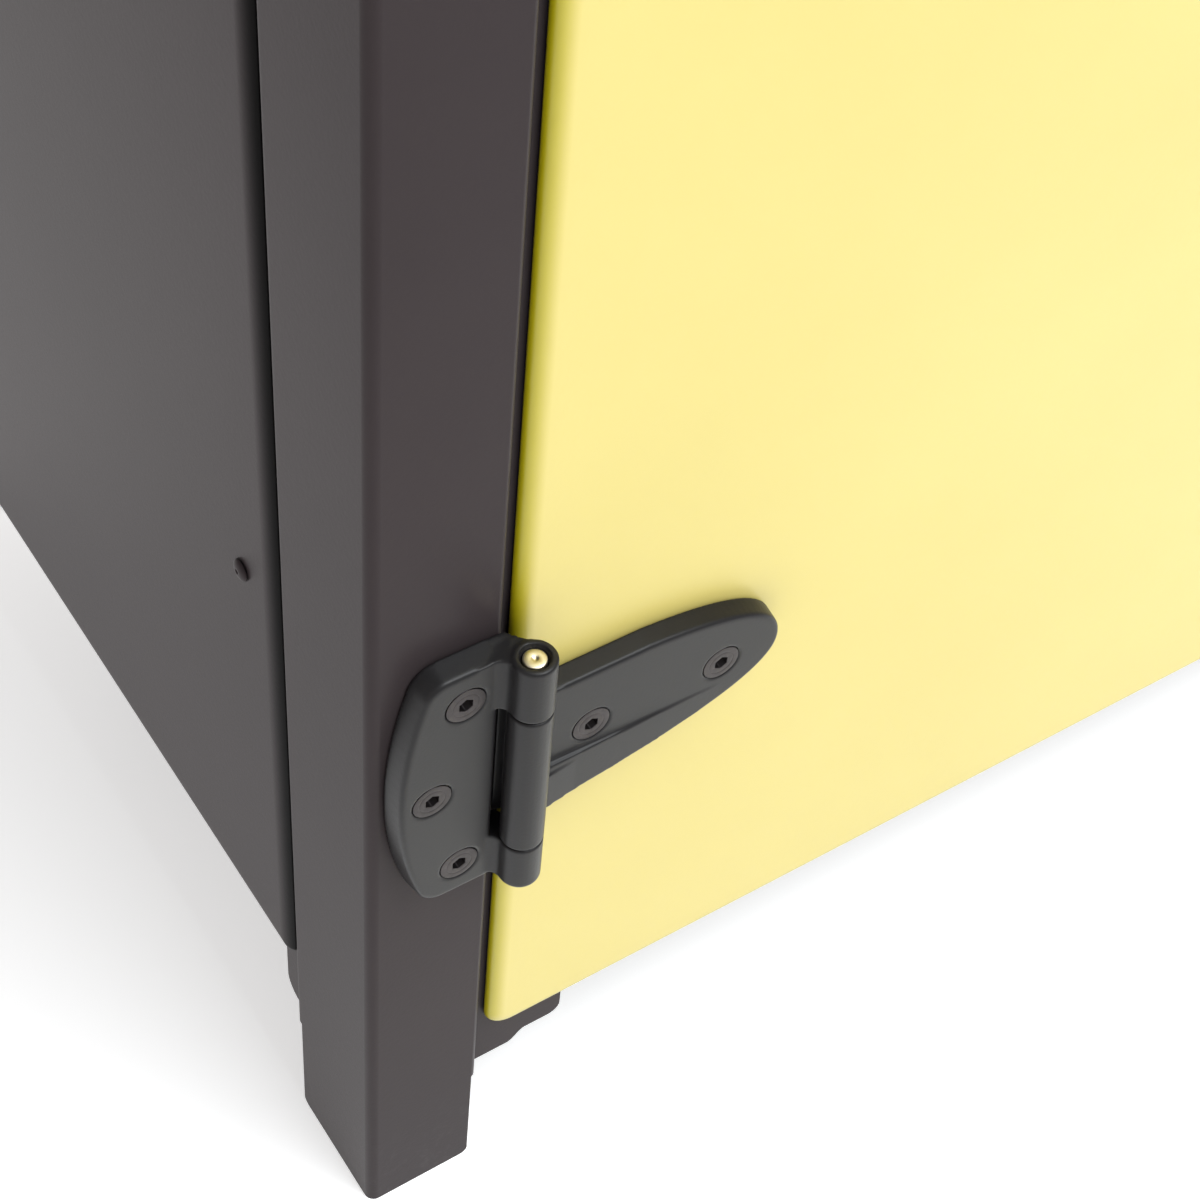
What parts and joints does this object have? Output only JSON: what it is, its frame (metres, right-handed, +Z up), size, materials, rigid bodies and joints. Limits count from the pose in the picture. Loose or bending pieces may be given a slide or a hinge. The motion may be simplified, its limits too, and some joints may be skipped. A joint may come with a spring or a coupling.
{
  "type": "mailbox",
  "caption": "Free-standing sheet-steel mailbox on four post legs, with a strap-hinged yellow door, rod lock and sprung mail slot.",
  "frame": {"origin": "middle of the base of the bounding box, on the ground plane under the legs", "axes": "+Z up along the posts, -Y out of the door's face, +X to the right as seen from the front"},
  "size_m": [0.516, 0.454, 1.18],
  "materials": {
    "grey_coat": "satin fine-texture powder coat, warm dark grey",
    "yellow_coat": "satin powder coat, pale yellow",
    "black_moulding": "glass-filled black moulding, fine matt grain",
    "dark_screw": "blackened steel, turned head",
    "yellow_zinc": "yellow-passivated steel, turned end",
    "bright_zinc": "bright zinc plate with faint spangle",
    "gasket_rubber": "matt cellular rubber",
    "satin_nickel": "satin nickel"
  },
  "bodies": {
    "cabinet": {"post_front_left": "grey_coat", "post_front_right": "grey_coat", "post_rear_left": "grey_coat", "post_rear_right": "grey_coat", "side_panel_left": "grey_coat", "side_panel_right": "grey_coat", "back_panel": "grey_coat", "floor_tray": "grey_coat", "ceiling_tray": "grey_coat", "roof_cover": "grey_coat", "sill_rail": "grey_coat", "lintel_rail": "grey_coat", "foot_plate_front_left": "bright_zinc", "foot_plate_front_right": "bright_zinc", "foot_plate_rear_left": "bright_zinc", "foot_plate_rear_right": "bright_zinc", "lock_keeper": "bright_zinc", "flap_rod": "bright_zinc", "mail_chute": "bright_zinc", "header_panel": "yellow_coat", "slot_bezel": "black_moulding", "frame_leaf_lower": "black_moulding", "hinge_pin_lower": "yellow_zinc", "frame_screw_lower_1": "dark_screw", "frame_screw_lower_2": "dark_screw", "frame_screw_lower_3": "dark_screw", "frame_leaf_upper": "black_moulding", "hinge_pin_upper": "yellow_zinc", "frame_screw_upper_1": "dark_screw", "frame_screw_upper_2": "dark_screw", "frame_screw_upper_3": "dark_screw", "rivet_left_1": "dark_screw", "rivet_right_1": "dark_screw", "rivet_left_2": "dark_screw", "rivet_right_2": "dark_screw", "rivet_left_3": "dark_screw", "rivet_right_3": "dark_screw", "door_gasket": "gasket_rubber", "name_plate": "satin_nickel"},
    "door": {"door_panel": "yellow_coat", "door_liner": "yellow_coat", "lock_escutcheon": "black_moulding", "rod_guide_upper": "black_moulding", "rod_guide_lower": "black_moulding", "door_leaf_lower": "black_moulding", "door_screw_lower_1": "dark_screw", "door_screw_lower_2": "dark_screw", "door_leaf_upper": "black_moulding", "door_screw_upper_1": "dark_screw", "door_screw_upper_2": "dark_screw"},
    "handle": {"lock_cam": "bright_zinc", "cam_screw": "bright_zinc", "lock_handle": "black_moulding"},
    "key_cylinder": {"key_cylinder": "satin_nickel"},
    "upper_rod": {"lock_rod_upper": "bright_zinc"},
    "lower_rod": {"lock_rod_lower": "bright_zinc"},
    "mail_flap": {"mail_flap": "grey_coat", "flap_spring": "bright_zinc"}
  },
  "joints": [
    {"name": "door_hinge", "type": "hinge", "parent": "cabinet", "child": "door", "pos_m": [-0.208, -0.193, 0.4925], "axis": [0, 0, -1], "range_deg": [0, 175]},
    {"name": "handle_turn", "type": "hinge", "parent": "door", "child": "handle", "pos_m": [0.143, -0.201, 0.4925], "axis": [0, -1, 0], "range_deg": [0, 90]},
    {"name": "cylinder_turn", "type": "hinge", "parent": "handle", "child": "key_cylinder", "pos_m": [0.143, -0.205, 0.4925], "axis": [0, -1, 0], "range_deg": [0, 90]},
    {"name": "upper_rod_slide", "type": "slide", "parent": "door", "child": "upper_rod", "axis": [0, 0, 1], "range_m": [0, 0.02263]},
    {"name": "lower_rod_slide", "type": "slide", "parent": "door", "child": "lower_rod", "axis": [0, 0, -1], "range_m": [0, 0.02263]},
    {"name": "flap_hinge", "type": "hinge", "parent": "cabinet", "child": "mail_flap", "pos_m": [0, -0.1881, 1.066], "axis": [-1, 0, 0], "range_deg": [0, 75], "stiffness_Nm_per_rad": 0.05, "springref_deg": -11.46}
  ],
  "couplings": [
    {"joint": "upper_rod_slide", "follows": "handle_turn", "m_per_rad": 0.014405},
    {"joint": "lower_rod_slide", "follows": "handle_turn", "m_per_rad": 0.014405}
  ]
}
